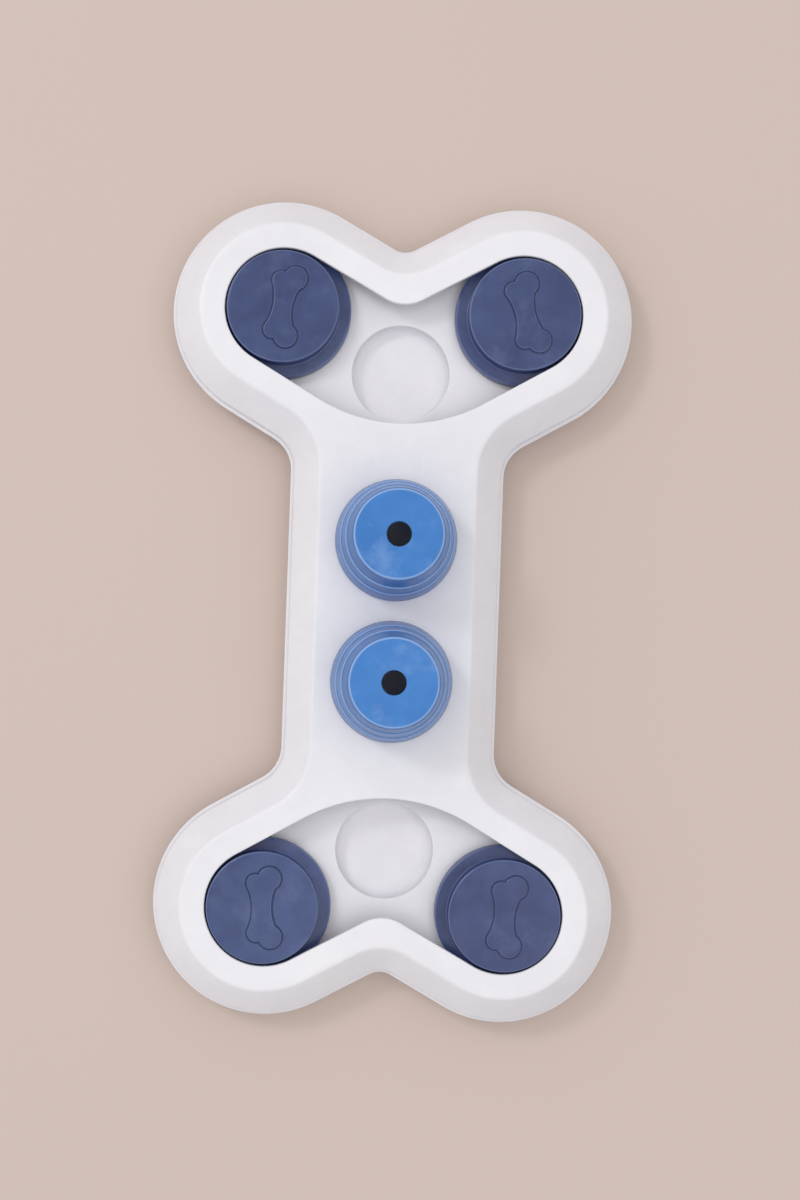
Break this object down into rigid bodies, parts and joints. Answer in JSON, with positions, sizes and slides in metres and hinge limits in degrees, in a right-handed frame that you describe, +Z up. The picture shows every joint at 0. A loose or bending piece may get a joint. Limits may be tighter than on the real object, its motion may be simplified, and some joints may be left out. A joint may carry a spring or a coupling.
{
  "type": "dog puzzle feeder toy",
  "caption": "Bone-shaped treat puzzle: round pucks slide over hidden dishes at both ends, and hollow cones lift off wells in the waist.",
  "frame": {"origin": "middle of the toy, on the floor plane under its rubber feet", "axes": "+Y along the bone towards the upper pair of lobes, +X to the right across the waist, +Z up"},
  "size_m": [0.175, 0.31, 0.0563],
  "materials": {
    "cover_plastic": "fine satin, off-white",
    "tray_plastic": "fine satin, off-white",
    "puck_plastic": "satin navy blue",
    "cone_plastic": "glossy light blue",
    "foot_rubber": "matt grey rubber",
    "screw_steel": "zinc-plated steel"
  },
  "bodies": {
    "housing": {"top_cover": "cover_plastic", "base_tray": "tray_plastic", "foot_top_left": "foot_rubber", "foot_top_right": "foot_rubber", "foot_bottom_left": "foot_rubber", "foot_bottom_right": "foot_rubber", "foot_waist_left": "foot_rubber", "foot_waist_right": "foot_rubber", "case_screws": "screw_steel"},
    "puck_top_left": {"puck_top_left": "puck_plastic"},
    "puck_top_right": {"puck_top_right": "puck_plastic"},
    "puck_bottom_left": {"puck_bottom_left": "puck_plastic"},
    "puck_bottom_right": {"puck_bottom_right": "puck_plastic"},
    "cone_upper": {"cone_upper": "cone_plastic"},
    "cone_lower": {"cone_lower": "cone_plastic"}
  },
  "joints": [
    {"name": "puck_top_left_slide", "type": "slide", "parent": "housing", "child": "puck_top_left", "axis": [0.887, -0.4617, 0], "range_m": [0, 0.044]},
    {"name": "puck_top_right_slide", "type": "slide", "parent": "housing", "child": "puck_top_right", "axis": [0.887, 0.4617, 0], "range_m": [-0.044, 0]},
    {"name": "puck_bottom_left_slide", "type": "slide", "parent": "housing", "child": "puck_bottom_left", "axis": [0.887, 0.4617, 0], "range_m": [0, 0.044]},
    {"name": "puck_bottom_right_slide", "type": "slide", "parent": "housing", "child": "puck_bottom_right", "axis": [0.887, -0.4617, 0], "range_m": [-0.044, 0]},
    {"name": "cone_upper_lift", "type": "slide", "parent": "housing", "child": "cone_upper", "axis": [0, 0, 1], "range_m": [0, 0.06]},
    {"name": "cone_lower_lift", "type": "slide", "parent": "housing", "child": "cone_lower", "axis": [0, 0, 1], "range_m": [0, 0.06]}
  ]
}
